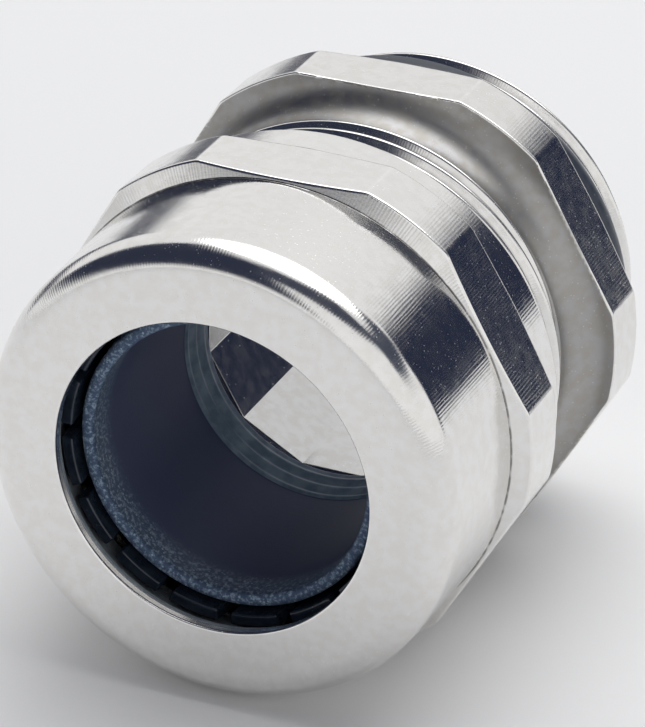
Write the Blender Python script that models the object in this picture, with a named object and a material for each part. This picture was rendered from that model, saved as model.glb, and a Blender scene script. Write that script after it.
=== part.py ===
"""Cable gland with a domed clamping nut, a gland body and a flexible clamping cage round a rubber seal.

The gland's axis runs along Y and lies one half of the width across flats above the floor, so the gland
rests on one flat of each hexagon. The cable enters at -Y and the connection thread points to +Y.
Stations are distances along the axis, measured from the front face of the nut.
"""

import math

import bmesh
import bpy

MM = 0.001

# Clearances
GAP = 0.3 * MM  # between pieces that lie against each other
FLEX_GAP = 0.45 * MM  # between the fingers and the seal, so that they can close
THREAD_GAP = 0.35 * MM  # radial, between the nut's thread and the body's

# Sealing insert
SEAL_BORE = 10.3 * MM  # radius
SEAL_LIP_HEIGHT = 0.4 * MM  # how far the rear lip narrows the bore
SEAL_SETBACK = 0.55 * MM  # from the fingers' tips back to the front rim
SEAL_WALL = 1.8 * MM
SEAL_RIM = 0.35 * MM  # rounding of the front rim
SEAL_RIDGES = 3
SEAL_RIDGE_HEIGHT = 0.12 * MM
SEAL_LIP_LENGTH = 3.4 * MM
SEAL_REAR_GAP = 0.6 * MM  # to the floor of the body's socket

# Clamping cage
CAGE_WALL = 1.2 * MM
CAGE_FLANGE = 1.3 * MM  # how far the flange stands out of the cage's tube
CAGE_FLANGE_LENGTH = 1.0 * MM
FINGERS = 16
FINGER_LENGTH = 7.05 * MM
FINGER_TIP_WALL = 0.9 * MM
TIP_TRAVEL = 0.95 * MM  # room for half a turn of the nut in front of the fingers
FINGER_SLOT = 1.0 * MM

# Threads
PITCH = 1.5 * MM
THREAD_DEPTH = 0.92 * MM
THREAD_FLANK = math.radians(30)
CONNECTION_RADIUS = 16.0 * MM
CONNECTION_LENGTH = 8.5 * MM

# Gland body
SOCKET_DEPTH = 10.9 * MM
SOCKET_WALL = 1.68 * MM  # from the socket to the root of the nut's thread
SHOULDER_FILLET = 2.7 * MM
SHOULDER_STEP = 0.3 * MM  # from the thread's root up to the neck
THREAD_LEAD = 1.8 * MM  # plain length in front of the nut's thread
THREAD_SHOWING = 5.9 * MM  # from the nut to the start of the shoulder
BODY_HEX_LENGTH = 4.9 * MM
BORE_STEP = 0.05 * MM  # from the seal's bore out to the sides of the body's bore
BORE_SIDES = 12
BORE_CHAMFER = 0.5 * MM
BORE_EXIT_CHAMFER = 0.8 * MM

# Dome nut
NUT_HOLE_STEP = 1.45 * MM  # from the seal's bore out to the nut's hole
NUT_FRONT_WALL = 0.7 * MM
NUT_ROUNDING = 2.2 * MM
NUT_TAPER = 0.2 * MM  # how much slimmer the dome is at its front
NUT_WALL = 1.1 * MM  # outside the nut's thread
DOME_INSET = 0.3 * MM  # from the flats in to the dome
DOME_LENGTH = 11.15 * MM
NUT_HEX_LENGTH = 5.5 * MM
COLLAR_LENGTH = 3.35 * MM
CONE_SLOPE = 0.28
CONE_LENGTH = 7.3 * MM
CONE_INSET = 1.9 * MM  # from the edge of the front face in to the cone

# Hexagons, cut on round bar
FLAT_INSET = 0.05 * MM  # from the flats in to the collar
CORNER_HEIGHT = 1.1 * MM  # from the flats out to the round bar
HEX_CHAMFER = math.tan(math.radians(18))
EDGE_CHAMFER = 0.35 * MM

# Slip ring, between the nut's cone and the fingers
SLIP_WALL = 0.7 * MM
SLIP_LENGTH = 3.9 * MM
SLIP_LIP_STEP = 0.25 * MM  # from the nut's hole out to the lip
SLIP_LIP_LENGTH = 0.4 * MM

# O-ring
CORD = 4.0 * MM
GROOVE_DEPTH = 3.0 * MM  # below the crest of the connection thread

COLUMNS = 36  # round a piece without flats

# Radii worked out from the seal outwards
cage_inner = SEAL_BORE + SEAL_WALL + GAP
cage_outer = cage_inner + CAGE_WALL
socket_radius = cage_outer + GAP
body_root = socket_radius + SOCKET_WALL
body_crest = body_root + THREAD_DEPTH
nut_root = body_crest + THREAD_GAP
nut_crest = nut_root - THREAD_DEPTH
collar_radius = nut_root + NUT_WALL
flat_radius = collar_radius + FLAT_INSET
bar_radius = flat_radius + CORNER_HEIGHT
dome_radius = flat_radius - DOME_INSET
dome_front_radius = dome_radius - NUT_TAPER
cone_start = dome_front_radius - NUT_ROUNDING - CONE_INSET
nut_hole = SEAL_BORE + NUT_HOLE_STEP
slip_lip_bore = nut_hole + SLIP_LIP_STEP
bore_apothem = SEAL_BORE + BORE_STEP
groove_radius = CONNECTION_RADIUS - GROOVE_DEPTH
o_ring_centre = groove_radius + GAP + CORD / 2

# Stations
nut_length = DOME_LENGTH + NUT_HEX_LENGTH + COLLAR_LENGTH
shoulder_station = nut_length + THREAD_SHOWING
hex_front = shoulder_station + SHOULDER_FILLET
hex_rear = hex_front + BODY_HEX_LENGTH
gland_length = hex_rear + CONNECTION_LENGTH
slip_front = NUT_FRONT_WALL + GAP
slip_lip_rear = slip_front + SLIP_LIP_LENGTH
finger_tip = slip_lip_rear + TIP_TRAVEL
finger_root = finger_tip + FINGER_LENGTH
flange_front = finger_root + GAP
flange_rear = flange_front + CAGE_FLANGE_LENGTH
body_front = flange_rear + GAP
socket_floor = body_front + SOCKET_DEPTH
seal_front = finger_tip + SEAL_SETBACK
seal_rear = socket_floor - SEAL_REAR_GAP
o_ring_station = hex_rear + GAP + CORD / 2
groove_rear = o_ring_station + CORD / 2 + GAP

flat_half_angle = math.acos(flat_radius / bar_radius)
cone_stretch = math.hypot(1.0, CONE_SLOPE)  # radial distance for one unit square to the nut's cone


def slip_outer(station):
    return cone_start + CONE_SLOPE * (station - NUT_FRONT_WALL) - GAP * cone_stretch


def slip_inner(station):
    return slip_outer(station) - SLIP_WALL * cone_stretch


finger_tip_outer = slip_inner(finger_tip) - GAP * cone_stretch
finger_tip_inner = finger_tip_outer - FINGER_TIP_WALL
finger_pivot = cage_outer - CAGE_WALL / 2


def place(obj, radius=0.0, angle=0.0, station=0.0):
    """Put an object's origin at a radius and an angle round the gland's axis."""
    obj.location = (
        radius * math.cos(angle),
        station - gland_length / 2,
        flat_radius + radius * math.sin(angle),
    )


def make_material(name, colour, roughness, metallic=0.0):
    material = bpy.data.materials.new(name)
    material.use_nodes = True
    shader = material.node_tree.nodes["Principled BSDF"]
    shader.inputs["Base Color"].default_value = (*colour, 1.0)
    shader.inputs["Roughness"].default_value = roughness
    shader.inputs["Metallic"].default_value = metallic
    return material


def finish_mesh(name, bm, material):
    """Close the mesh's seams, turn its faces outwards and shade it smooth between its sharp edges."""
    bmesh.ops.remove_doubles(bm, verts=bm.verts, dist=1e-6)
    bmesh.ops.recalc_face_normals(bm, faces=bm.faces)
    mesh = bpy.data.meshes.new(name)
    bm.to_mesh(mesh)
    bm.free()
    mesh.shade_smooth()
    mesh.set_sharp_from_angle(angle=math.radians(28))
    mesh.materials.append(material)
    return mesh


def add_object(name, mesh):
    obj = bpy.data.objects.new(name, mesh)
    bpy.context.scene.collection.objects.link(obj)
    return obj


def ring_angles(count):
    return [math.tau * step / count for step in range(count + 1)]


def hex_angles(*extra):
    """Angles of a ring with columns at the middle and edges of every corner, and at the extra offsets."""
    offsets = {-math.pi / 6, -flat_half_angle, flat_half_angle, *extra, *(-angle for angle in extra)}
    sector = sorted(offsets)
    return [
        math.radians(30 + 60 * flat) + offset for flat in range(6) for offset in sector
    ] + [math.tau]


def from_flat_middle(angle, sides=6):
    """How far an angle lies from the middle of the nearest side of a polygon that has one side on top."""
    step = math.tau / sides
    return (angle - math.pi / 2 + step / 2) % step - step / 2


def hex_radius(angle):
    return min(bar_radius, flat_radius / math.cos(from_flat_middle(angle)))


def bore_radius(angle, apothem):
    return apothem / math.cos(from_flat_middle(angle, BORE_SIDES))


def revolve(name, angles, section, material):
    """A closed ring round the axis. section(angle) gives its outline there as (radius, station) points."""
    bm = bmesh.new()
    columns = []
    for angle in angles:
        across, up = math.cos(angle), math.sin(angle)
        column = [bm.verts.new((r * across, station, r * up)) for r, station in section(angle)]
        columns.append(column)
    for here, there in zip(columns, columns[1:]):
        for row in range(len(here)):
            after = (row + 1) % len(here)
            bm.faces.new((here[row], here[after], there[after], there[row]))
    obj = add_object(name, finish_mesh(name, bm, material))
    place(obj)
    return obj


def thread_turns(angle, start, end, root, crest, phase):
    """The part of an outline that crosses a right-hand thread, which runs out at both of its ends."""
    half_base = abs(crest - root) * math.tan(THREAD_FLANK) + 0.06 * PITCH
    first = math.floor((start - half_base - phase) / PITCH) + 1
    last = math.ceil((end + half_base - phase) / PITCH)
    points = [(root, start)]
    for turn in range(first, last + 1):
        middle = phase + (turn - angle / math.tau) * PITCH
        run_out = min(middle - start, end - middle) / (PITCH / 2)
        height = min(max(run_out, 0.0), 1.0)
        top = root + (crest - root) * height
        for station, radius in ((middle - half_base, root), (middle, top), (middle + half_base, root)):
            clamped = min(max(station, start), end)
            points.append((radius if clamped == station else root, clamped))
    return [*points, (root, end)]


def arc(centre_radius, centre_station, radius, start, end, steps):
    """Points on an arc of an outline. Angle 0 points outwards, and 90 degrees points to +Y."""
    points = []
    for step in range(steps + 1):
        turn = start + (end - start) * step / steps
        points.append((centre_radius + radius * math.cos(turn), centre_station + radius * math.sin(turn)))
    return points


def make_dome_nut(material):
    hex_end = DOME_LENGTH + NUT_HEX_LENGTH
    cone_end = NUT_FRONT_WALL + CONE_LENGTH
    cone_end_radius = cone_start + CONE_SLOPE * CONE_LENGTH

    def section(angle):
        corner = hex_radius(angle)
        points = [(nut_hole, NUT_FRONT_WALL), (nut_hole, 0.0)]
        points += arc(
            dome_front_radius - NUT_ROUNDING, NUT_ROUNDING, NUT_ROUNDING, -math.pi / 2, 0.0, 4
        )
        points.append((dome_radius, DOME_LENGTH))
        points.append((corner, DOME_LENGTH + (corner - dome_radius) * HEX_CHAMFER))
        points.append((corner, hex_end - (corner - collar_radius) * HEX_CHAMFER))
        points.append((collar_radius, hex_end))
        points.append((collar_radius, nut_length - EDGE_CHAMFER))
        points.append((collar_radius - EDGE_CHAMFER, nut_length))
        points.append((nut_root + GAP, nut_length))
        turns = thread_turns(
            angle, body_front + GAP, nut_length - EDGE_CHAMFER, nut_root, nut_crest, PITCH / 2
        )
        points += reversed(turns)
        points.append((nut_crest, body_front + GAP - EDGE_CHAMFER))
        points.append((nut_crest, cone_end + EDGE_CHAMFER))
        points.append((cone_end_radius, cone_end))
        points.append((cone_start, NUT_FRONT_WALL))
        return points

    return revolve("dome_nut", hex_angles(math.radians(10), 0.0), section, material)


def make_gland_body(material):
    neck_radius = body_root + SHOULDER_STEP
    fillet_centre = neck_radius + SHOULDER_FILLET
    seat_radius = flat_radius - 0.1 * MM
    connection_root = CONNECTION_RADIUS - THREAD_DEPTH

    def section(angle):
        corner = hex_radius(angle)
        fillet_end = math.acos(max(fillet_centre - corner, 0.0) / SHOULDER_FILLET)
        points = [(socket_radius, socket_floor), (socket_radius, body_front)]
        points.append((body_root - EDGE_CHAMFER, body_front))
        points.append((body_root, body_front + EDGE_CHAMFER))
        thread_start = body_front + THREAD_LEAD
        thread_end = shoulder_station - SHOULDER_STEP
        points += thread_turns(angle, thread_start, thread_end, body_root, body_crest, 0.0)
        fillet = arc(fillet_centre, shoulder_station, -SHOULDER_FILLET, 0.0, -fillet_end, 5)
        points += fillet
        points.append((corner, fillet[-1][1]))
        points.append((corner, hex_rear - (corner - seat_radius) * HEX_CHAMFER))
        points.append((seat_radius, hex_rear))
        points.append((groove_radius, hex_rear))
        points.append((groove_radius, groove_rear))
        points.append((connection_root, groove_rear))
        points += thread_turns(
            angle, groove_rear, gland_length - EDGE_CHAMFER, connection_root, CONNECTION_RADIUS, 0.0
        )
        points.append((connection_root - EDGE_CHAMFER, gland_length))
        points.append((bore_radius(angle, bore_apothem + BORE_EXIT_CHAMFER), gland_length))
        points.append((bore_radius(angle, bore_apothem), gland_length - BORE_EXIT_CHAMFER))
        points.append((bore_radius(angle, bore_apothem), socket_floor + BORE_CHAMFER))
        points.append((bore_radius(angle, bore_apothem + BORE_CHAMFER), socket_floor))
        return points

    angles = hex_angles(math.radians(15), math.radians(5))
    return revolve("gland_body", angles, section, material)


def make_slip_ring(material):
    rear = slip_front + SLIP_LENGTH

    def section(angle):
        return [
            (slip_lip_bore, slip_front),
            (slip_outer(slip_front), slip_front),
            (slip_outer(rear), rear),
            (slip_inner(rear), rear),
            (slip_inner(slip_lip_rear), slip_lip_rear),
            (slip_lip_bore, slip_lip_rear),
        ]

    return revolve("slip_ring", ring_angles(COLUMNS), section, material)


def make_cage_ring(material):
    rear = socket_floor - GAP

    def section(angle):
        return [
            (cage_inner, flange_front),
            (cage_outer + CAGE_FLANGE, flange_front),
            (cage_outer + CAGE_FLANGE, flange_rear),
            (cage_outer, flange_rear),
            (cage_outer, rear),
            (cage_inner, rear),
        ]

    return revolve("clamping_cage", ring_angles(COLUMNS), section, material)


def make_finger_mesh(material):
    """One finger on top of the cage, standing on its hinge line, with its inner face towards -Z."""
    half_pitch = math.pi / FINGERS
    outline = [
        (cage_outer, 0.0),
        (finger_tip_outer, -FINGER_LENGTH),
        (finger_tip_inner, -FINGER_LENGTH),
        (cage_inner, 0.0),
    ]
    bm = bmesh.new()
    columns = []
    for side in (-1.0, -1 / 3, 1 / 3, 1.0):
        column = []
        for radius, along in outline:
            angle = side * (half_pitch - math.asin(FINGER_SLOT / 2 / radius))
            column.append(
                bm.verts.new((radius * math.sin(angle), along, radius * math.cos(angle) - finger_pivot))
            )
        columns.append(column)
    for here, there in zip(columns, columns[1:]):
        for row in range(4):
            after = (row + 1) % 4
            bm.faces.new((here[row], here[after], there[after], there[row]))
    bm.faces.new(columns[0])
    bm.faces.new(columns[-1])
    return finish_mesh("clamp_finger", bm, material)


def make_fingers(material):
    mesh = make_finger_mesh(material)
    for number in range(FINGERS):
        angle = math.pi / 2 - math.tau * (number + 0.5) / FINGERS
        finger = add_object(f"clamp_finger_{number + 1:02d}", mesh)
        place(finger, finger_pivot, angle, finger_root)
        finger.rotation_euler = (0.0, math.pi / 2 - angle, 0.0)


def make_seal(material):
    """A rubber tube that follows the fingers in front, with a narrow ridged lip behind."""
    seal_outer = cage_inner - GAP
    slope = (cage_inner - finger_tip_inner) / FINGER_LENGTH
    flex = FLEX_GAP * math.hypot(1.0, slope)
    front_outer = finger_tip_inner + slope * (seal_front - finger_tip) - flex
    cone_end = finger_tip + (seal_outer + flex - finger_tip_inner) / slope
    lip_front = seal_rear - SEAL_LIP_LENGTH
    ridge_pitch = SEAL_LIP_LENGTH / SEAL_RIDGES

    def section(angle):
        points = [(SEAL_BORE, seal_front + SEAL_RIM), (SEAL_BORE + SEAL_RIM, seal_front)]
        points.append((front_outer - SEAL_RIM / 2, seal_front))
        points.append((front_outer + slope * SEAL_RIM / 2, seal_front + SEAL_RIM / 2))
        points.append((seal_outer, cone_end))
        points.append((seal_outer, seal_rear))
        points.append((SEAL_BORE - SEAL_LIP_HEIGHT, seal_rear))
        for ridge in reversed(range(SEAL_RIDGES)):
            foot = lip_front + ridge_pitch * ridge
            narrowed = SEAL_BORE - SEAL_LIP_HEIGHT * (ridge + 0.5) / SEAL_RIDGES
            points.append((narrowed, foot + ridge_pitch / 2))
            points.append((narrowed - SEAL_RIDGE_HEIGHT, foot + ridge_pitch / 4))
        points.append((SEAL_BORE, lip_front))
        return points

    return revolve("sealing_insert", ring_angles(COLUMNS), section, material)


def make_o_ring(material):
    def section(angle):
        return arc(o_ring_centre, o_ring_station, CORD / 2, 0.0, math.tau * 11 / 12, 11)

    return revolve("connection_o_ring", ring_angles(COLUMNS), section, material)


for old in list(bpy.data.objects):
    bpy.data.objects.remove(old)

nickel = make_material("nickel_plate", (0.72, 0.71, 0.69), 0.28, 1.0)
body_nickel = make_material("body_nickel_plate", (0.70, 0.69, 0.67), 0.3, 1.0)
dark_polyamide = make_material("dark_polyamide", (0.045, 0.055, 0.075), 0.35)
grey_polyamide = make_material("grey_polyamide", (0.30, 0.32, 0.34), 0.4)
seal_rubber = make_material("seal_rubber", (0.03, 0.035, 0.05), 0.6)
o_ring_rubber = make_material("o_ring_rubber", (0.035, 0.04, 0.055), 0.45)

make_dome_nut(nickel)
make_gland_body(body_nickel)
make_slip_ring(grey_polyamide)
make_cage_ring(dark_polyamide)
make_fingers(dark_polyamide)
make_seal(seal_rubber)
make_o_ring(o_ring_rubber)
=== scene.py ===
import math

import bmesh
import bpy
from mathutils import Matrix, Vector


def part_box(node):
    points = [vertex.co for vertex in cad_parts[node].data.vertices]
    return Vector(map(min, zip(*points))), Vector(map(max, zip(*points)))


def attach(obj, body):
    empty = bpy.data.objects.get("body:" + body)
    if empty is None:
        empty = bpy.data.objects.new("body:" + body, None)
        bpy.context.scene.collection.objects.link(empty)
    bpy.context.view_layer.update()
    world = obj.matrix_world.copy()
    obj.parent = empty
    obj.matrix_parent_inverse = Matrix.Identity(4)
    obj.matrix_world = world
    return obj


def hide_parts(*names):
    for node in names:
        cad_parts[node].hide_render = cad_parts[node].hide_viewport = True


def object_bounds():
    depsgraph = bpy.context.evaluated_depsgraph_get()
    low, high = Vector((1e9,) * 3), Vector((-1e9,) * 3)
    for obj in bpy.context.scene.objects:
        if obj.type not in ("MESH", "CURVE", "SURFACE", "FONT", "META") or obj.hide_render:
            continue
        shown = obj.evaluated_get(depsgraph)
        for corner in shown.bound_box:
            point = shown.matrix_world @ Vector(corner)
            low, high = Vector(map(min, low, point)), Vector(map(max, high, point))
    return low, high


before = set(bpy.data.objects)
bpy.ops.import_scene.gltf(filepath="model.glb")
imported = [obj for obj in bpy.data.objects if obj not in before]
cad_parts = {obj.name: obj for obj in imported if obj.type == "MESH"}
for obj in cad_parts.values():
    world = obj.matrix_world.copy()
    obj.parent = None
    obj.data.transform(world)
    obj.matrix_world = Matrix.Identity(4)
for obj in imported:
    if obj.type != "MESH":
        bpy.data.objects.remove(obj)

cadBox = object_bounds()
mm = 0.001
print("frame loaded:", len(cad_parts), "nodes")

# A station is a distance along +Y from the nut's front face, and a radius is taken from the gland's axis.
nutBox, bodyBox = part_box("dome_nut"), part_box("gland_body")
frontY = nutBox[0].y
axisZ = (nutBox[0].z + nutBox[1].z) / 2
flatRadius = (nutBox[1].z - nutBox[0].z) / 2
barRadius = (nutBox[1].x - nutBox[0].x) / 2
nutLength = nutBox[1].y - frontY
glandLength = bodyBox[1].y - frontY
bodyFront = bodyBox[0].y - frontY
fingerNames = sorted(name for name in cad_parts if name.startswith("clamp_finger_"))


def stationsOf(node):
    low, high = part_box(node)
    return low.y - frontY, high.y - frontY


def outerRadius(node):
    low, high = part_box(node)
    return (high.x - low.x) / 2


# Outlines are lists of (radius, station, shading) points that run round a section of the piece.
# The third value is above 0 on an edge, which gets rubbed wear and a painted highlight, and below 0 in a
# hollow, which gets painted shade.
def bend(before, corner, after, softness, steps):
    # a quadratic curve that touches both straights of a corner
    def towards(other):
        across, along = other[0] - corner[0], other[1] - corner[1]
        length = math.hypot(across, along)
        reach = min(softness, 0.45 * length) / length if length else 0.0
        return corner[0] + across * reach, corner[1] + along * reach

    start, end = towards(before), towards(after)
    points = []
    for step in range(steps + 1):
        t = step / steps
        points.append(tuple(
            start[i] * (1 - t) ** 2 + 2 * corner[i] * t * (1 - t) + end[i] * t * t for i in (0, 1)
        ))
    return points


def turnAt(before, corner, after):
    # how sharply the outline turns, from 1 on a square edge to -1 in a square hollow
    inward = math.atan2(corner[1] - before[1], corner[0] - before[0])
    outward = math.atan2(after[1] - corner[1], after[0] - corner[0])
    turn = (outward - inward + math.pi) % math.tau - math.pi
    return max(-1.0, min(1.0, turn / (math.pi / 2)))


def softened(corners, steps=3, hold=0.06 * mm):
    # a corner given as (radius, station, softness) is rounded; a point on each side holds the straights
    points = []
    for number, corner in enumerate(corners):
        if len(corner) < 3:
            points.append((*corner, 0.0))
            continue
        before, after = corners[number - 1], corners[(number + 1) % len(corners)]
        held = bend(before, corner, after, corner[2] + hold, 1)
        # how sharply the outline turns sets rubbed wear and a painted highlight on edges, and painted shade
        # in hollows
        wearAndShading = turnAt(before, corner, after)
        points.append((*held[0], 0.0))
        points += [(*point, wearAndShading) for point in bend(before, corner, after, corner[2], steps)]
        points.append((*held[1], 0.0))
    return points


def arcPoints(centreRadius, centreStation, radius, start, end, steps):
    points = []
    for step in range(steps + 1):
        turn = start + (end - start) * step / steps
        points.append((centreRadius + radius * math.cos(turn), centreStation + radius * math.sin(turn), 0.0))
    return points


def smoothLeast(a, b, ease):
    # the smaller of two radii, eased where they meet
    share = min(max(0.5 + 0.5 * (b - a) / ease, 0.0), 1.0)
    return b + (a - b) * share - ease * share * (1 - share)


def fromFlat(angle, sides):
    # how far an angle lies from the middle of the nearest side, with one side on top
    step = math.tau / sides
    return (angle - math.pi / 2 + step / 2) % step - step / 2


def hexRadius(angle, ease=0.1 * mm):
    return smoothLeast(flatRadius / math.cos(fromFlat(angle, 6)), barRadius, ease)


def rubbedLitCorners(points, angle, corner):
    # the edges between the flats and the round bar are rubbed too, and get a painted highlight as well
    away = (abs(fromFlat(angle, 6)) - math.acos(flatRadius / barRadius)) * barRadius
    rubbedAndLit = 0.8 * math.exp(-(away / (0.13 * mm)) ** 2)
    return [(r, s, max(wearAndShading, rubbedAndLit) if abs(r - corner) < 0.05 * mm else wearAndShading) for r, s, wearAndShading in points]


def facetRadius(angle, apothem):
    return apothem / math.cos(fromFlat(angle, 12))


def threadPoints(angle, start, end, root, crest, phase, pitch, fadeTurns):
    # right-hand ridges with rounded crests that fade out at both ends, over fadeTurns of the pitch;
    # each column has the same number of points
    ridge = (
        (-0.42, 0.0), (-0.34, 0.10), (-0.15, 0.83), (-0.10, 0.96), (-0.05, 1.0),
        (0.05, 1.0), (0.10, 0.96), (0.15, 0.83), (0.34, 0.10), (0.42, 0.0),
    )
    first = math.floor((start - phase) / pitch) - 1
    last = math.ceil((end - phase) / pitch) + 2
    points = [(root, start, 0.0)]
    for turn in range(first, last + 1):
        middle = phase + (turn - angle / math.tau) * pitch
        fade = min(max(min(middle - start, end - middle) / (fadeTurns * pitch), 0.0), 1.0)
        height = (crest - root) * fade * fade * (3 - 2 * fade)
        for offset, rise in ridge:
            station = middle + offset * pitch
            clamped = min(max(station, start), end)
            radius = root + height * rise if clamped == station else root
            # crests get rubbed wear and a painted highlight, and roots get painted shade
            points.append((radius, clamped, (1.4 * rise - 0.7) * fade))
    return [*points, (root, end, 0.0)]


def evenAngles(count):
    return [math.tau * number / count for number in range(count + 1)]


def hexAngles(count):
    # extra columns where the flats meet the round bar, so that those edges stay crisp
    edge = math.acos(flatRadius / barRadius)
    angles = {round(angle, 8) for angle in evenAngles(count)}
    for side in range(6):
        for sign in (-1, 1):
            middle = math.radians(30 + 60 * side) + sign * edge
            angles |= {round((middle + math.radians(0.16 * step)) % math.tau, 8) for step in range(-4, 5)}
    return sorted(angles)


def facetAngles(count):
    # extra columns close beside the twelve corners of the bore
    angles = {round(angle, 8) for angle in evenAngles(count)} | set(hexAngles(count))
    for corner in range(12):
        middle = math.radians(15 + 30 * corner)
        angles |= {round(middle + math.radians(step), 8) for step in (-0.25, 0.0, 0.25)}
    return sorted(angles)


def finishMesh(name, bm, sharp):
    bmesh.ops.remove_doubles(bm, verts=bm.verts, dist=1.5e-6)
    bmesh.ops.dissolve_degenerate(bm, edges=bm.edges, dist=1e-6)
    bmesh.ops.recalc_face_normals(bm, faces=bm.faces)
    mesh = bpy.data.meshes.new(name)
    bm.to_mesh(mesh)
    bm.free()
    mesh.shade_smooth()
    mesh.set_sharp_from_angle(angle=math.radians(sharp))
    return mesh


def turned(name, angles, outlineAt, sharp=34):
    points, faces, wornAndShaded = [], [], []
    rows = len(outlineAt(0.0))
    for angle in angles:
        across, up = math.cos(angle), math.sin(angle)
        for radius, station, wearAndShading in outlineAt(angle):
            points.append((radius * across, frontY + station, axisZ + radius * up))
            wornAndShaded.append(wearAndShading)
    for column in range(len(angles) - 1):
        here, there = column * rows, (column + 1) * rows
        for row in range(rows):
            after = (row + 1) % rows
            faces.append((here + row, here + after, there + after, there + row))
    rough = bpy.data.meshes.new(name + "Rough")
    rough.from_pydata(points, [], faces)
    rough.attributes.new("wearAndShading", "FLOAT", "POINT").data.foreach_set("value", wornAndShaded)
    bm = bmesh.new()
    bm.from_mesh(rough)
    bpy.data.meshes.remove(rough)
    return finishMesh(name, bm, sharp)


def addPiece(name, mesh, material, body, node):
    mesh.materials.append(material)
    obj = bpy.data.objects.new(name, mesh)
    bpy.context.scene.collection.objects.link(obj)
    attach(obj, body)
    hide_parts(node)
    return obj


# Node helpers. An input's value is a number, a colour or a socket to link.
def addNode(tree, kind, inputs=(), **settings):
    node = tree.nodes.new(kind)
    for name, value in settings.items():
        setattr(node, name, value)
    for name, value in dict(inputs).items():
        socket = node.inputs[name]
        if isinstance(value, bpy.types.NodeSocket):
            tree.links.new(value, socket)
        else:
            socket.default_value = value
    return node


def calc(tree, operation, *values, clamp=False):
    return addNode(
        tree, "ShaderNodeMath", dict(enumerate(values)), operation=operation, use_clamp=clamp
    ).outputs[0]


def mixColours(tree, share, first, second):
    node = addNode(tree, "ShaderNodeMix", data_type="RGBA")
    for socket, value in ((node.inputs[0], share), (node.inputs[6], first), (node.inputs[7], second)):
        if isinstance(value, bpy.types.NodeSocket):
            tree.links.new(value, socket)
        else:
            socket.default_value = value
    return node.outputs[2]


def ramp(tree, value, low, high, toLow=0.0, toHigh=1.0):
    return addNode(
        tree, "ShaderNodeMapRange",
        {"Value": value, "From Min": low, "From Max": high, "To Min": toLow, "To Max": toHigh},
        interpolation_type="SMOOTHSTEP",
    ).outputs["Result"]


def newGroup(name, inputs, outputs):
    group = bpy.data.node_groups.new(name, "ShaderNodeTree")
    for label, default in inputs.items():
        socket = group.interface.new_socket(label, in_out="INPUT", socket_type="NodeSocketFloat")
        socket.default_value = default
    for label in outputs:
        group.interface.new_socket(label, in_out="OUTPUT", socket_type="NodeSocketFloat")
    return group, group.nodes.new("NodeGroupInput"), group.nodes.new("NodeGroupOutput")


def useGroup(tree, group, **values):
    node = tree.nodes.new("ShaderNodeGroup")
    node.node_tree = group
    for name, value in values.items():
        node.inputs[name].default_value = value
    return node.outputs


def splitPlace(tree):
    # a point's X, its height over the axis and its Y
    place = addNode(tree, "ShaderNodeTexCoord").outputs["Object"]
    split = addNode(tree, "ShaderNodeSeparateXYZ", {0: place}).outputs
    return split["X"], calc(tree, "SUBTRACT", split["Z"], axisZ), split["Y"]


def axisVector(tree, aroundScale, alongScale, outScale):
    # a pattern space round the axis, joined under the gland: angle, station and radius
    across, up, along = splitPlace(tree)
    radius = calc(tree, "SQRT", calc(tree, "ADD", calc(tree, "MULTIPLY", across, across),
                                     calc(tree, "MULTIPLY", up, up)))
    return addNode(tree, "ShaderNodeCombineXYZ", {
        "X": calc(tree, "MULTIPLY", calc(tree, "ARCTAN2", across, up), aroundScale),
        "Y": calc(tree, "MULTIPLY", along, alongScale),
        "Z": calc(tree, "MULTIPLY", radius, outScale),
    }).outputs[0]


def noiseAt(tree, vector, scale=1.0, detail=3.0, roughness=0.5):
    return addNode(tree, "ShaderNodeTexNoise", {
        "Vector": vector, "Scale": scale, "Detail": detail, "Roughness": roughness,
    }).outputs[0]


def buildChatter():
    # fine ribs along the axis, as a lathe tool leaves when it rings, in patches and not on end faces
    inputs = {"Around": 60.0, "Along": 260.0, "Ribs": 470.0, "Unevenness": 9.0, "Patches": 3.0}
    group, into, out = newGroup("chatterMarks", inputs, ("Height",))
    given = into.outputs
    uneven = noiseAt(group, axisVector(group, given["Around"], given["Along"], 0.0), roughness=0.6)
    across, up, _ = splitPlace(group)
    turn = calc(group, "MULTIPLY", calc(group, "ARCTAN2", across, up), given["Ribs"])
    phase = calc(group, "ADD", turn, calc(group, "MULTIPLY", uneven, given["Unevenness"]))
    ribs = calc(group, "MULTIPLY", calc(group, "SINE", phase), 0.5)
    patches = noiseAt(group, axisVector(group, given["Patches"], 160.0, 0.0), detail=2.0)
    mask = ramp(group, patches, 0.38, 0.62, 0.25, 1.0)
    facing = addNode(group, "ShaderNodeNewGeometry").outputs["Normal"]
    endOn = calc(group, "ABSOLUTE", addNode(group, "ShaderNodeSeparateXYZ", {0: facing}).outputs["Y"])
    mask = calc(group, "MULTIPLY", mask, ramp(group, endOn, 0.995, 0.96))
    group.links.new(calc(group, "MULTIPLY", ribs, mask), out.inputs["Height"])
    return group


def buildLatheRings():
    # hair lines round the axis
    group, into, out = newGroup("latheRings", {"Along": 9000.0, "Around": 1.2}, ("Height",))
    vector = axisVector(group, into.outputs["Around"], into.outputs["Along"], into.outputs["Along"])
    lines = noiseAt(group, vector, detail=2.0)
    group.links.new(calc(group, "SUBTRACT", lines, 0.5), out.inputs["Height"])
    return group


def buildGrain():
    # even fine grain, with a softer mottle under it
    group, into, out = newGroup("fineGrain", {"Size": 2600.0, "Mottle": 1100.0}, ("Height", "Mottle"))
    place = addNode(group, "ShaderNodeTexCoord").outputs["Object"]
    fine = noiseAt(group, place, into.outputs["Size"], 4.0, 0.7)
    soft = noiseAt(group, place, into.outputs["Mottle"])
    group.links.new(calc(group, "SUBTRACT", fine, 0.5), out.inputs["Height"])
    group.links.new(soft, out.inputs["Mottle"])
    return group


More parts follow.
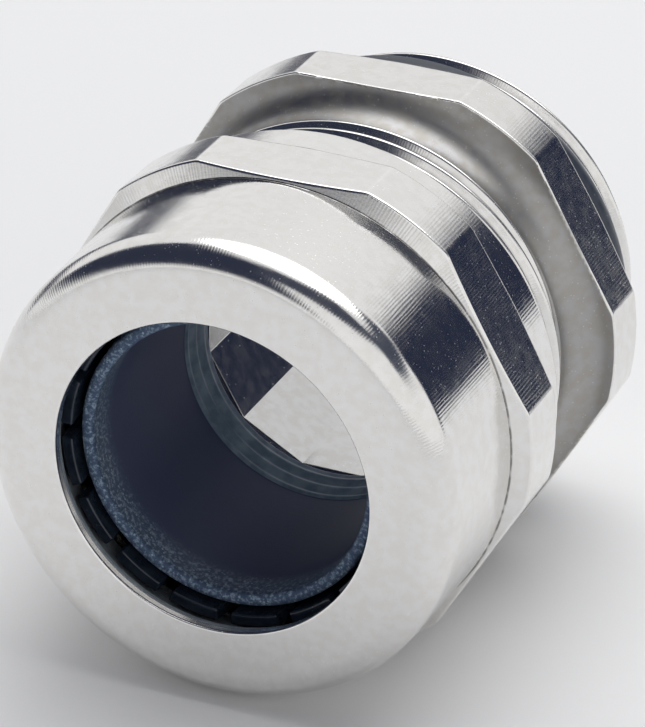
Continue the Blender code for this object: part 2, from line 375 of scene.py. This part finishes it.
def buildFlecks():
    # scattered bright or dull dots
    group, into, out = newGroup("flecks", {"Size": 3800.0, "Share": 0.12}, ("Mask",))
    place = addNode(group, "ShaderNodeTexCoord").outputs["Object"]
    cells = addNode(group, "ShaderNodeTexVoronoi", {"Vector": place, "Scale": into.outputs["Size"]})
    dots = ramp(group, cells.outputs["Distance"], 0.38, 0.16)
    kept = addNode(group, "ShaderNodeSeparateColor", {0: cells.outputs["Color"]}).outputs[0]
    chosen = calc(group, "LESS_THAN", kept, into.outputs["Share"])
    group.links.new(calc(group, "MULTIPLY", dots, chosen), out.inputs["Mask"])
    return group


def buildEdgeLightAndShade():
    # edges painted lighter, as rubbed wear and a painted highlight, and hollows painted darker, as painted
    # shade, from the values that the outlines carry, broken up by noise
    group, into, out = newGroup("edgeLightAndHollowShade", {"Size": 1500.0}, ("LitWornEdge", "HollowShade"))
    wearAndShading = addNode(group, "ShaderNodeAttribute", attribute_name="wearAndShading").outputs["Fac"]
    place = addNode(group, "ShaderNodeTexCoord").outputs["Object"]
    patchy = noiseAt(group, place, into.outputs["Size"])
    broken = ramp(group, patchy, 0.3, 0.6, 0.35, 1.0)
    # edges: rubbed wear and a painted highlight
    edge = calc(group, "MULTIPLY", wearAndShading, broken, clamp=True)
    # hollows: painted shade
    hollow = calc(group, "MULTIPLY", calc(group, "MULTIPLY", wearAndShading, -1.6), broken, clamp=True)
    group.links.new(edge, out.inputs["LitWornEdge"])
    group.links.new(hollow, out.inputs["HollowShade"])
    return group


chatterGroup = buildChatter()
ringsGroup = buildLatheRings()
grainGroup = buildGrain()
fleckGroup = buildFlecks()
edgeLightShadeGroup = buildEdgeLightAndShade()
plasticBump = 0.03 * mm


def startMaterial(name):
    material = bpy.data.materials.new(name)
    material.use_nodes = True
    tree = material.node_tree
    tree.nodes.clear()
    shader = tree.nodes.new("ShaderNodeBsdfPrincipled")
    output = tree.nodes.new("ShaderNodeOutputMaterial")
    tree.links.new(shader.outputs[0], output.inputs["Surface"])
    return material, tree, shader


def addBump(tree, shader, height, strength, distance):
    bump = addNode(tree, "ShaderNodeBump", {"Height": height, "Strength": strength, "Distance": distance})
    tree.links.new(bump.outputs[0], shader.inputs["Normal"])


def makeNickel(name, look):
    material, tree, shader = startMaterial(name)
    chatter = useGroup(tree, chatterGroup, Around=look["chatterAround"], Along=look["chatterAlong"])
    rings = useGroup(tree, ringsGroup)
    grain = useGroup(tree, grainGroup, Size=look["grainSize"])
    flecks = useGroup(tree, fleckGroup, Share=look["fleckShare"], Size=look["fleckSize"])
    edges = useGroup(tree, edgeLightShadeGroup)
    colour = mixColours(tree, ramp(tree, grain["Mottle"], 0.35, 0.65), look["colour"], look["colourWarm"])
    # rubbed edges are painted lighter, as wear and a painted highlight, and hollows are painted darker, as
    # painted shade; the flecks are the metal's own dots
    layers = (
        (edges["LitWornEdge"], look["rubbedAndLit"], look["colourLitEdge"]),
        (edges["HollowShade"], look["hollowShade"], look["colourHollowShade"]),
        (flecks["Mask"], look["fleckShow"], look["colourFleck"]),
    )
    for mask, share, over in layers:
        colour = mixColours(tree, calc(tree, "MULTIPLY", mask, share), colour, over)
    tree.links.new(colour, shader.inputs["Base Color"])
    low, high = look["roughness"]
    satin = ramp(tree, grain["Mottle"], 0.3, 0.7, low, high)
    rough = calc(tree, "ADD", satin, calc(tree, "MULTIPLY", flecks["Mask"], look["fleckRoughness"]))
    tree.links.new(rough, shader.inputs["Roughness"])
    shader.inputs["Metallic"].default_value = 1.0
    height = calc(tree, "ADD", calc(tree, "MULTIPLY", chatter["Height"], look["chatterDepth"]),
                  calc(tree, "MULTIPLY", rings["Height"], look["ringDepth"]))
    height = calc(tree, "ADD", height, calc(tree, "MULTIPLY", grain["Height"], look["grainDepth"]))
    addBump(tree, shader, height, 1.0, look["bumpHeight"])
    return material


def makePlastic(name, look, fleckShow=0.7):
    material, tree, shader = startMaterial(name)
    grain = useGroup(tree, grainGroup, Size=look["grainSize"])
    flecks = useGroup(tree, fleckGroup, Share=look["fleckShare"], Size=look["fleckSize"])
    edges = useGroup(tree, edgeLightShadeGroup)
    colour = mixColours(tree, ramp(tree, grain["Mottle"], 0.35, 0.7), look["colour"], look["colourPale"])
    # edges are painted paler, as rubbed wear and a painted highlight
    for mask, share in ((edges["LitWornEdge"], look["edgePaleAndLit"]), (flecks["Mask"], fleckShow)):
        colour = mixColours(tree, calc(tree, "MULTIPLY", mask, share), colour, look["colourFleck"])
    tree.links.new(colour, shader.inputs["Base Color"])
    low, high = look["roughness"]
    tree.links.new(ramp(tree, grain["Mottle"], 0.3, 0.7, low, high), shader.inputs["Roughness"])
    shader.inputs["Specular IOR Level"].default_value = look["gloss"]
    addBump(tree, shader, grain["Height"], look["grainDepth"], plasticBump)
    return material


# The outer nut: a dome that runs into a hexagon and a plain collar, with a cone and a thread inside.
nutLook = {
    "colour": (0.82, 0.812, 0.80, 1), "colourWarm": (0.785, 0.77, 0.745, 1),
    # the edge colour is rubbed wear and a painted highlight; the hollow colour is painted shade
    "colourLitEdge": (0.93, 0.92, 0.90, 1), "colourHollowShade": (0.16, 0.155, 0.15, 1),
    "colourFleck": (0.86, 0.87, 0.90, 1), "rubbedAndLit": 0.6, "hollowShade": 0.85, "bumpHeight": 0.02 * mm,
    "fleckShare": 0.07, "fleckSize": 6400.0, "fleckShow": 0.45, "fleckRoughness": 0.22,
    "roughness": (0.12, 0.17), "chatterAround": 25.0, "chatterAlong": 120.0,
    "chatterDepth": 0.13, "ringDepth": 0.07, "grainSize": 4200.0, "grainDepth": 0.16,
}
nutSizes = {
    "hole": 11.75 * mm, "frontWall": 0.7 * mm, "rounding": 2.2 * mm, "frontRadius": 17.5 * mm,
    "domeRadius": 17.7 * mm, "domeLength": 11.15 * mm, "hexLength": 5.5 * mm,
    "collarRadius": 17.95 * mm, "collarChamfer": 0.35 * mm, "chamferSlope": math.tan(math.radians(18)),
    "coneStart": 13.4 * mm, "coneSlope": 0.28, "coneLength": 7.3 * mm,
    "threadRoot": 16.85 * mm, "threadDepth": 0.92 * mm, "pitch": 1.5 * mm, "threadChamfer": 0.3 * mm,
    "softEdge": 0.14 * mm, "fineEdge": 0.10 * mm, "roundingSteps": 22, "reliefLength": 0.35 * mm,
    "threadFade": 0.7,
}


def nutOutline(angle, size=nutSizes):
    corner = hexRadius(angle)
    soft = size["softEdge"]
    hexEnd = size["domeLength"] + size["hexLength"]
    coneEnd = size["frontWall"] + size["coneLength"]
    crest = size["threadRoot"] - size["threadDepth"]
    threadStart = bodyFront + size["threadChamfer"]
    flatEdge = size["frontRadius"] - size["rounding"]
    outside = softened([
        (size["hole"], size["frontWall"], 0.08 * mm),
        (size["hole"], 0.0, soft),
        (flatEdge, 0.0),
    ])[:-1]
    outside.append((flatEdge - 0.4 * mm, 0.0, 0.0))
    outside += arcPoints(flatEdge, size["rounding"], size["rounding"], -math.pi / 2, 0.0,
                          size["roundingSteps"])
    rest = softened([
        (size["frontRadius"] + 0.01 * mm, size["rounding"] + 0.5 * mm),
        (size["domeRadius"], size["domeLength"], 0.05 * mm),
        (corner, size["domeLength"] + (corner - size["domeRadius"]) * size["chamferSlope"], soft),
        (corner, hexEnd - (corner - size["collarRadius"]) * size["chamferSlope"], soft),
        (size["collarRadius"] - 0.001 * mm, hexEnd, 0.08 * mm),
        (size["collarRadius"], nutLength - size["collarChamfer"], 0.12 * mm),
        (size["collarRadius"] - size["collarChamfer"], nutLength, size["fineEdge"]),
        (size["threadRoot"] + size["threadChamfer"], nutLength, size["fineEdge"]),
        (size["threadRoot"], nutLength - size["threadChamfer"]),
    ])[1:]
    inside = list(reversed(threadPoints(
        angle, threadStart, nutLength - size["collarChamfer"], size["threadRoot"], crest,
        size["pitch"] / 2, size["pitch"], size["threadFade"]
    )))
    inside += [
        (crest, threadStart - size["reliefLength"], 0.0),
        (crest, coneEnd + size["reliefLength"], 0.0),
        (size["coneStart"] + size["coneSlope"] * size["coneLength"], coneEnd, 0.0),
        (size["coneStart"], size["frontWall"], 0.0),
    ]
    return outside + rubbedLitCorners(rest, angle, corner) + inside


nutNickel = makeNickel("nutNickel", nutLook)
nut = addPiece("domeNut", turned("domeNut", hexAngles(540), nutOutline), nutNickel,
               "dome_nut", "dome_nut")
print("nut made:", len(nut.data.polygons), "faces")

# The body: a socket and the nut's thread, a waisted neck, a hexagon, an O-ring seat and a connection thread.
bodyLook = {
    **nutLook, "colour": (0.80, 0.79, 0.775, 1), "colourWarm": (0.76, 0.745, 0.72, 1),
    "roughness": (0.13, 0.19), "chatterAround": 50.0, "chatterDepth": 0.09, "grainDepth": 0.18,
}
# the neck is a darker, rougher copy of the body's nickel; its darker colour is painted shade
neckShadedLook = {
    **bodyLook, "roughness": (0.36, 0.44), "colour": (0.39, 0.385, 0.385, 1),
    "colourWarm": (0.375, 0.36, 0.335, 1), "chatterDepth": 0.03, "ringDepth": 0.12,
}
# the bore is a darker, smoother copy of the body's nickel; its darker colour is painted shade inside the
# bore
boreShadedLook = {
    **bodyLook, "colour": (0.60, 0.60, 0.60, 1), "colourWarm": (0.57, 0.56, 0.55, 1),
    "chatterDepth": 0.0, "ringDepth": 0.03, "grainDepth": 0.07, "fleckShare": 0.02,
}
bodySizes = {
    "socketRadius": 13.9 * mm, "socketDepth": 10.9 * mm, "threadRoot": 15.58 * mm,
    "threadDepth": nutSizes["threadDepth"], "pitch": nutSizes["pitch"], "threadLead": 1.8 * mm,
    "threadShowing": 5.9 * mm, "threadFade": 0.3, "connectionFade": 0.25,
    "neckRadius": 15.88 * mm, "fillet": 2.7 * mm, "hexLength": 4.9 * mm, "seatRadius": 17.9 * mm,
    "grooveRadius": 13.0 * mm, "grooveLength": 4.6 * mm, "connectionRadius": 16.0 * mm,
    "chamferSlope": nutSizes["chamferSlope"], "boreApothem": 10.35 * mm,
    "boreChamfer": 0.5 * mm, "exitChamfer": 0.8 * mm, "edgeChamfer": 0.35 * mm, "softEdge": 0.14 * mm,
    "fineEdge": 0.10 * mm, "hollow": 0.15 * mm, "threadRunOut": 0.3 * mm, "filletSteps": 18,
}


def bodyOutline(angle, size=bodySizes):
    corner = hexRadius(angle)
    soft, fine, edge, hollow = (size[key] for key in ("softEdge", "fineEdge", "edgeChamfer", "hollow"))
    floor = bodyFront + size["socketDepth"]
    shoulder = nutLength + size["threadShowing"]
    hexRear = shoulder + size["fillet"] + size["hexLength"]
    grooveRear = hexRear + size["grooveLength"]
    connectionRoot = size["connectionRadius"] - size["threadDepth"]
    filletCentre = size["neckRadius"] + size["fillet"]
    filletEnd = math.acos(max(filletCentre - corner, 0.0) / size["fillet"])
    front = softened([
        (size["socketRadius"], floor, hollow),
        (size["socketRadius"], bodyFront, 0.12 * mm),
        (size["threadRoot"] - edge, bodyFront, fine),
        (size["threadRoot"], bodyFront + edge),
    ])[1:]
    threadStart, threadEnd = bodyFront + size["threadLead"], shoulder - size["threadRunOut"]
    front += threadPoints(angle, threadStart, threadEnd, size["threadRoot"],
                          size["threadRoot"] + size["threadDepth"], 0.0, size["pitch"], size["threadFade"])
    fillet = arcPoints(filletCentre, shoulder, -size["fillet"], 0.0, -filletEnd, size["filletSteps"])
    hexFront = fillet[-1][1]
    outside = softened([
        fillet[-2][:2],
        (corner, hexFront, soft),
        (corner, hexRear - (corner - size["seatRadius"]) * size["chamferSlope"], soft),
        (size["seatRadius"], hexRear, soft),
        (size["grooveRadius"], hexRear, hollow),
        (size["grooveRadius"], grooveRear, hollow),
        (connectionRoot, grooveRear),
    ])
    thread = threadPoints(angle, grooveRear, glandLength - edge, connectionRoot,
                          size["connectionRadius"], 0.0, size["pitch"], size["connectionFade"])
    bore, chamfer = size["boreApothem"], size["boreChamfer"]
    inside = softened([
        (connectionRoot, glandLength - edge),
        (connectionRoot - edge, glandLength, fine),
        (facetRadius(angle, bore + size["exitChamfer"]), glandLength, fine),
        (facetRadius(angle, bore), glandLength - size["exitChamfer"], fine),
        (facetRadius(angle, bore), floor + chamfer, 0.06 * mm),
        (facetRadius(angle, bore + chamfer), floor, 0.08 * mm),
        (size["socketRadius"], floor),
    ])[1:-1]
    return front + fillet[:-2] + rubbedLitCorners(outside[:-1], angle, corner) + thread + inside


bodyNickel = makeNickel("bodyNickel", bodyLook)
body = addPiece("glandBody", turned("glandBody", facetAngles(540), bodyOutline), bodyNickel,
                "gland_body", "gland_body")
body.data.materials.append(makeNickel("neckShadedNickel", neckShadedLook))
body.data.materials.append(makeNickel("boreShadedNickel", boreShadedLook))
neckY = frontY + nutLength + bodySizes["threadShowing"] - bodySizes["threadRunOut"]
neckEnd = neckY + bodySizes["fillet"] + bodySizes["threadRunOut"]
boreReach = facetRadius(math.radians(15), bodySizes["boreApothem"]) + bodySizes["boreChamfer"]
# the bore and the neck get the darker copies of the nickel, which paint shade on them
for face in body.data.polygons:
    out = math.hypot(face.center.x, face.center.z - axisZ)
    if out < boreReach:
        face.material_index = 2
    elif out > bodySizes["socketRadius"] and neckY < face.center.y < neckEnd:
        face.material_index = 1
print("body made:", len(body.data.polygons), "faces")

# The slip ring between the nut's cone and the fingers, with a lip that shows in the nut's hole.
slipLook = {
    "colour": (0.20, 0.235, 0.265, 1), "colourPale": (0.30, 0.335, 0.36, 1),
    "colourFleck": (0.62, 0.68, 0.72, 1), "edgePaleAndLit": 0.5, "fleckShare": 0.10, "fleckSize": 4200.0,
    "grainSize": 2400.0, "grainDepth": 0.35, "roughness": (0.28, 0.42), "gloss": 0.5,
}
slipSizes = {
    "lipBore": 12.0 * mm, "lipLength": 0.4 * mm, "gap": 0.3 * mm, "wall": 0.7 * mm,
    "outerAtWall": nutSizes["coneStart"], "slope": nutSizes["coneSlope"],
    "nutWall": nutSizes["frontWall"], "softEdge": 0.10 * mm,
}


def slipOutline(angle, size=slipSizes):
    front, rear = stationsOf("slip_ring")
    stretch = math.hypot(1.0, size["slope"])

    def outer(station):
        return size["outerAtWall"] + size["slope"] * (station - size["nutWall"]) - size["gap"] * stretch

    def inner(station):
        return outer(station) - size["wall"] * stretch

    soft, lipRear = size["softEdge"], front + size["lipLength"]
    return softened([
        (size["lipBore"], front, soft), (outer(front), front, soft), (outer(rear), rear, soft),
        (inner(rear), rear, soft), (inner(lipRear), lipRear, soft), (size["lipBore"], lipRear, soft),
    ])


slipPlastic = makePlastic("slipRingPolyamide", slipLook)
addPiece("slipRing", turned("slipRing", evenAngles(300), slipOutline), slipPlastic,
         "slip_ring", "slip_ring")

# The clamping cage: a flanged ring in the body's socket, and the fingers that stand on it.
cageLook = {
    "colour": (0.012, 0.018, 0.030, 1), "colourPale": (0.022, 0.031, 0.048, 1),
    "colourFleck": (0.08, 0.11, 0.16, 1), "edgePaleAndLit": 0.35, "fleckShare": 0.03, "fleckSize": 5200.0,
    "grainSize": 1900.0, "grainDepth": 0.25, "roughness": (0.12, 0.20), "gloss": 0.5,
}
cageSizes = {
    "inner": 12.4 * mm, "outer": 13.6 * mm, "flangeLength": 1.0 * mm, "softEdge": 0.15 * mm,
    "slot": 1.0 * mm, "tipWall": 0.9 * mm, "tipOuter": 12.51 * mm, "fingerEdge": 0.16 * mm,
}


def cageOutline(angle, size=cageSizes):
    front, rear = stationsOf("clamping_cage")
    flange, soft = outerRadius("clamping_cage"), size["softEdge"]
    return softened([
        (size["inner"], front, soft), (flange, front, soft), (flange, front + size["flangeLength"], soft),
        (size["outer"], front + size["flangeLength"], soft), (size["outer"], rear, soft),
        (size["inner"], rear, soft),
    ])


def fingerMesh(name, middle, size=cageSizes):
    tip, root = stationsOf(name)
    halfPitch = math.pi / len(fingerNames)
    corners = [
        (size["outer"], root), (size["tipOuter"], tip),
        (size["tipOuter"] - size["tipWall"], tip), (size["inner"], root),
    ]
    bm = bmesh.new()
    columns = []
    for side in [number / 5 - 1 for number in range(11)]:
        column = []
        for radius, station in corners:
            angle = middle + side * (halfPitch - math.asin(size["slot"] / 2 / radius))
            column.append(bm.verts.new((
                radius * math.cos(angle), frontY + station, axisZ + radius * math.sin(angle)
            )))
        columns.append(column)
    for here, there in zip(columns, columns[1:]):
        for row in range(4):
            after = (row + 1) % 4
            bm.faces.new((here[row], here[after], there[after], there[row]))
    bm.faces.new(columns[0])
    bm.faces.new(columns[-1])
    bmesh.ops.recalc_face_normals(bm, faces=bm.faces)
    edges = [edge for edge in bm.edges if edge.calc_face_angle(0.0) > math.radians(40)]
    bmesh.ops.bevel(bm, geom=edges, offset=size["fingerEdge"], segments=3, profile=0.5, affect="EDGES")
    return finishMesh(name, bm, 50)


cagePlastic = makePlastic("cagePolyamide", cageLook)
addPiece("clampingCage", turned("clampingCage", evenAngles(300), cageOutline), cagePlastic,
         "gland_body", "clamping_cage")
for number, name in enumerate(fingerNames):
    middle = math.pi / 2 - math.tau * (number + 0.5) / len(fingerNames)
    mesh = fingerMesh(name, middle)
    addPiece(f"clampFinger{number + 1:02d}", mesh, cagePlastic, name, name)
print("cage and fingers made:", len(fingerNames))

# The sealing insert: a rubber tube with a speckled round front rim and a ridged lip at its rear.
sealLook = {
    "bore": (0.050, 0.062, 0.125, 1), "tint": (0.45, 0.58, 1.0, 1),
    # the lip colours are the same rubber painted paler: painted light on the lip
    "lip": (0.14, 0.195, 0.255, 1), "lipPale": (0.24, 0.31, 0.38, 1),
    "rim": (0.060, 0.088, 0.145, 1), "rimPale": (0.32, 0.42, 0.52, 1), "speckleSize": 3200.0,
    "mottle": 900.0, "fleckShare": 0.3, "fleckSize": 3600.0, "fleckShow": 0.8, "wander": 1.6 * mm,
    "fade": 1.1 * mm, "rough": 0.5, "rimRough": 0.34, "gloss": 0.3, "grainDepth": 0.35,
}
sealSizes = {
    "bore": 10.3 * mm, "rim": 0.35 * mm, "frontOuter": 11.22 * mm, "outer": 12.1 * mm, "coneEnd": 10.8 * mm,
    "rimLength": 2.3 * mm, "lipLength": 3.4 * mm, "lipHeight": 0.4 * mm,
    "ridges": 3, "ridgeHeight": 0.12 * mm, "ridgeEdge": 0.12 * mm,
}


def sealOutline(angle, size=sealSizes):
    front, rear = stationsOf("sealing_insert")
    pitch = size["lipLength"] / size["ridges"]
    lipFront = rear - size["lipLength"]
    corners = [
        (size["bore"], front, 0.42 * mm), (size["frontOuter"], front, 0.40 * mm),
        (size["outer"], size["coneEnd"], 0.3 * mm), (size["outer"], rear, 0.15 * mm),
        (size["bore"] - size["lipHeight"], rear, 0.18 * mm),
    ]
    for ridge in reversed(range(size["ridges"])):
        foot = lipFront + pitch * ridge
        narrowed = size["bore"] - size["lipHeight"] * (ridge + 0.5) / size["ridges"]
        corners.append((narrowed, foot + pitch / 2, size["ridgeEdge"]))
        corners.append((narrowed - size["ridgeHeight"], foot + pitch / 4, size["ridgeEdge"]))
    corners.append((size["bore"], lipFront, 0.15 * mm))
    return softened(corners, steps=6)


def makeSealRubber(look, size=sealSizes):
    material, tree, shader = startMaterial("sealRubber")
    grain = useGroup(tree, grainGroup, Size=look["speckleSize"], Mottle=look["mottle"])
    flecks = useGroup(tree, fleckGroup, Share=look["fleckShare"], Size=look["fleckSize"])
    place = addNode(tree, "ShaderNodeTexCoord").outputs["Object"]
    along = addNode(tree, "ShaderNodeSeparateXYZ", {0: place}).outputs["Y"]
    front, rear = (frontY + station for station in stationsOf("sealing_insert"))
    rimEnd, lipStart = front + size["rimLength"], rear - size["lipLength"]
    wander = calc(tree, "ADD", along, calc(tree, "MULTIPLY", grain["Height"], look["wander"]))
    rim = ramp(tree, wander, rimEnd + look["fade"], rimEnd - look["fade"])
    lip = ramp(tree, along, lipStart - 0.05 * mm, lipStart + 0.05 * mm)
    # the lip is painted paler than the bore: painted light
    lipColour = mixColours(tree, ramp(tree, grain["Mottle"], 0.3, 0.7), look["lip"], look["lipPale"])
    speckle = calc(tree, "ADD", ramp(tree, grain["Height"], -0.05, 0.22),
                   calc(tree, "MULTIPLY", flecks["Mask"], look["fleckShow"]), clamp=True)
    rimColour = mixColours(tree, speckle, look["rim"], look["rimPale"])
    colour = mixColours(tree, lip, look["bore"], lipColour)
    tree.links.new(mixColours(tree, rim, colour, rimColour), shader.inputs["Base Color"])
    glossy = calc(tree, "MULTIPLY", calc(tree, "MAXIMUM", rim, lip), look["rough"] - look["rimRough"])
    tree.links.new(calc(tree, "SUBTRACT", look["rough"], glossy), shader.inputs["Roughness"])
    shader.inputs["Specular IOR Level"].default_value = look["gloss"]
    shader.inputs["Specular Tint"].default_value = look["tint"]
    addBump(tree, shader, grain["Height"], look["grainDepth"], plasticBump)
    return material


addPiece("sealingInsert", turned("sealingInsert", evenAngles(360), sealOutline, sharp=60),
         makeSealRubber(sealLook), "gland_body", "sealing_insert")

# The O-ring between the hexagon and the connection thread.
oRingLook = {
    "colour": (0.020, 0.028, 0.044, 1), "colourPale": (0.034, 0.044, 0.064, 1),
    "colourFleck": (0.14, 0.17, 0.22, 1), "edgePaleAndLit": 0.0, "fleckShare": 0.06, "fleckSize": 4200.0,
    "grainSize": 2600.0, "grainDepth": 0.30, "roughness": (0.34, 0.46), "gloss": 0.5,
}


def oRingOutline(angle):
    front, rear = stationsOf("connection_o_ring")
    cord = (rear - front) / 2
    centre = outerRadius("connection_o_ring") - cord
    return arcPoints(centre, front + cord, cord, 0.0, math.tau * 35 / 36, 35)


oRingRubber = makePlastic("oRingRubber", oRingLook)
addPiece("connectionORing", turned("connectionORing", evenAngles(360), oRingOutline, sharp=60), oRingRubber,
         "gland_body", "connection_o_ring")
print("seal and O-ring made")

# The studio: a pale floor, a soft overhead light and a light tent whose panels the metal mirrors.
studio = {
    "floorSize": 1.6, "floorColour": (0.93, 0.93, 0.93, 1), "floorMottle": 0.15,
    "floorGap": 0.02 * mm, "tentLight": 1.0,
    "lowColour": (0.92, 0.92, 0.92, 1), "highColour": (0.86, 0.86, 0.87, 1),
    "overheadPower": 3.1, "overheadSize": 0.9, "overheadPlace": (0.05, 0.30, 0.75),
}
# azimuth from -Y towards +X and elevation, in degrees: middle, half width, edge softness; then colour
tentPanels = (
    {"azimuth": (-48, 46, 8), "elevation": (37, 30, 14), "colour": (0.028, 0.034, 0.060, 1)},
    {"azimuth": (34, 44, 12), "elevation": (55, 15, 8), "colour": (0.055, 0.062, 0.090, 1)},
    {"azimuth": (105, 36, 12), "elevation": (38, 11, 7), "colour": (0.06, 0.07, 0.10, 1)},
    {"azimuth": (148, 19, 6), "elevation": (8, 17, 5), "colour": (0.020, 0.026, 0.052, 1)},
    {"azimuth": (-135, 38, 14), "elevation": (0, 9, 6), "colour": (0.10, 0.105, 0.13, 1)},
)


def buildTent():
    world = bpy.data.worlds.new("lightTent")
    bpy.context.scene.world = world
    world.use_nodes = True
    tree = world.node_tree
    tree.nodes.clear()
    way = addNode(tree, "ShaderNodeTexCoord").outputs["Generated"]
    split = addNode(tree, "ShaderNodeSeparateXYZ", {0: way}).outputs
    ahead = calc(tree, "MULTIPLY", split["Y"], -1.0)
    azimuth = calc(tree, "DEGREES", calc(tree, "ARCTAN2", split["X"], ahead))
    elevation = calc(tree, "DEGREES", calc(tree, "ARCSINE", split["Z"]))
    light = mixColours(tree, ramp(tree, elevation, -10.0, 70.0), studio["lowColour"], studio["highColour"])
    for panel in tentPanels:
        masks = []
        for value, (middle, half, soft) in ((azimuth, panel["azimuth"]), (elevation, panel["elevation"])):
            away = calc(tree, "ABSOLUTE", calc(tree, "SUBTRACT", value, middle))
            masks.append(ramp(tree, away, half + soft / 2, half - soft / 2))
        light = mixColours(tree, calc(tree, "MULTIPLY", *masks), light, panel["colour"])
    seen = addNode(tree, "ShaderNodeLightPath").outputs["Is Camera Ray"]
    shown = mixColours(tree, seen, light, (1, 1, 1, 1))
    background = addNode(tree, "ShaderNodeBackground", {"Strength": studio["tentLight"]})
    tree.links.new(shown, background.inputs["Color"])
    output = tree.nodes.new("ShaderNodeOutputWorld")
    tree.links.new(background.outputs[0], output.inputs["Surface"])


def buildFloor():
    half = studio["floorSize"] / 2
    bm = bmesh.new()
    bmesh.ops.create_grid(bm, x_segments=8, y_segments=8, size=half)
    mesh = bpy.data.meshes.new("floor")
    bm.to_mesh(mesh)
    bm.free()
    material, tree, shader = startMaterial("palePaper")
    grain = useGroup(tree, grainGroup, Size=900.0, Mottle=40.0)
    mottle = calc(tree, "MULTIPLY", grain["Mottle"], studio["floorMottle"])
    paper = mixColours(tree, mottle, studio["floorColour"], (1, 1, 1, 1))
    tree.links.new(paper, shader.inputs["Base Color"])
    shader.inputs["Roughness"].default_value = 0.9
    shader.inputs["Specular IOR Level"].default_value = 0.1
    addBump(tree, shader, grain["Height"], 0.1, 0.05 * mm)
    mesh.materials.append(material)
    floor = bpy.data.objects.new("floor", mesh)
    bpy.context.scene.collection.objects.link(floor)
    floor.location.z = cadBox[0].z - studio["floorGap"]


def buildOverhead():
    lamp = bpy.data.lights.new("overhead", "AREA")
    lamp.shape, lamp.size = "DISK", studio["overheadSize"]
    lamp.energy = studio["overheadPower"]
    holder = bpy.data.objects.new("overhead", lamp)
    holder.location = studio["overheadPlace"]
    bpy.context.scene.collection.objects.link(holder)


def placeCamera():
    # the object's width fills the picture, which is 645 wide and 727 high
    view = {"azimuth": 23.0, "elevation": 27.2, "roll": 0.8, "lens": 200.0, "margin": 1.012}
    pictureWidth, pictureHeight = 645, 727
    turn, rise, roll = (math.radians(view[key]) for key in ("azimuth", "elevation", "roll"))
    back = Vector((math.sin(turn) * math.cos(rise), -math.cos(turn) * math.cos(rise), math.sin(rise)))
    facing = (-back).to_track_quat("-Z", "Y").to_matrix() @ Matrix.Rotation(roll, 3, "Z")
    points = [vertex.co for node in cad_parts.values() for vertex in node.data.vertices]
    spans = [[axis.dot(point) for point in points] for axis in (facing.col[0], facing.col[1])]
    right, up = ((min(span) + max(span)) / 2 for span in spans)
    width = max(spans[0]) - min(spans[0])
    data = bpy.data.cameras.new("camera")
    data.lens = view["lens"]
    halfView = data.sensor_width / 2 / data.lens * pictureWidth / pictureHeight
    middle = (cadBox[0] + cadBox[1]) / 2
    aim = facing.col[0] * right + facing.col[1] * up + back * back.dot(middle)
    camera = bpy.data.objects.new("camera", data)
    camera.location = aim + back * (width / 2 * view["margin"] / halfView)
    camera.rotation_euler = facing.to_euler()
    data.clip_start, data.clip_end = 0.01, 20.0
    bpy.context.scene.collection.objects.link(camera)
    bpy.context.scene.camera = camera


buildTent()
buildFloor()
buildOverhead()
placeCamera()
bpy.context.scene.view_settings.view_transform = "Standard"
print("studio made")
